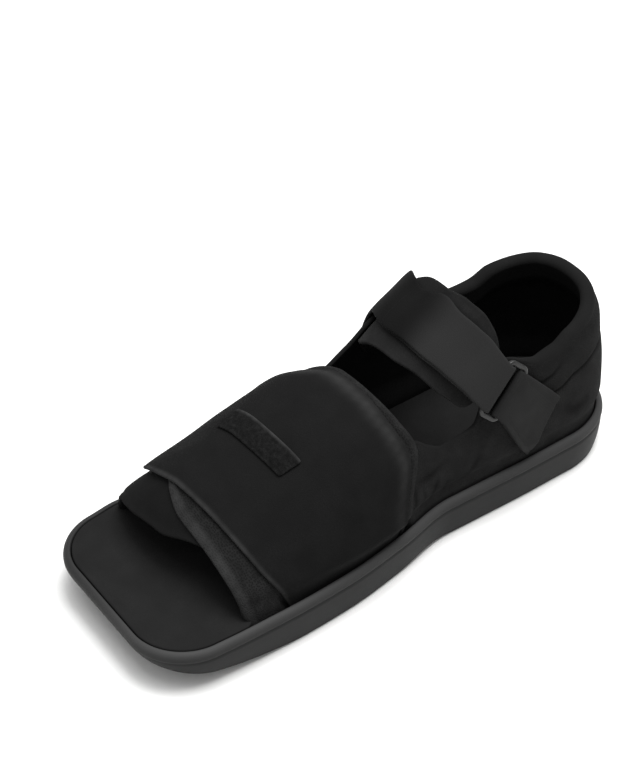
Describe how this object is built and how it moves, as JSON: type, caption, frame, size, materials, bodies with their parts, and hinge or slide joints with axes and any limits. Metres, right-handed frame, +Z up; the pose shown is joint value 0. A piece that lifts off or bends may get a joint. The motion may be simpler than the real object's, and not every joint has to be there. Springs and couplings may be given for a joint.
{
  "type": "post operative shoe",
  "caption": "Left post operative shoe: flat square-toed rocker sole, open toe, mesh upper, wide forefoot closure, heel counter and padded ankle strap through a side ring.",
  "frame": {"origin": "on the floor under the middle of the shoe", "axes": "+Z up, toe towards -Y, outer side of the left foot towards +X"},
  "size_m": [0.1124, 0.29, 0.116],
  "materials": {
    "outsole_rubber": "matte moulded, soft sheen on the rim",
    "footbed_foam": "brushed fabric over foam",
    "upper_mesh": "knitted mesh over foam",
    "closure_fabric": "short looped pile",
    "patch_fabric": "woven patch, bare",
    "pad_fabric": "brushed fabric over foam",
    "strap_webbing": "short looped pile",
    "ring_plastic": "glossy moulded",
    "tab_webbing": "short looped pile"
  },
  "bodies": {
    "root": {"sole": "outsole_rubber", "insole": "footbed_foam", "upper": "upper_mesh", "forefoot_closure": "closure_fabric", "closure_patch": "patch_fabric", "ankle_pad": "pad_fabric", "ankle_strap": "strap_webbing", "strap_ring": "ring_plastic", "ring_tab": "tab_webbing"}
  },
  "joints": []
}
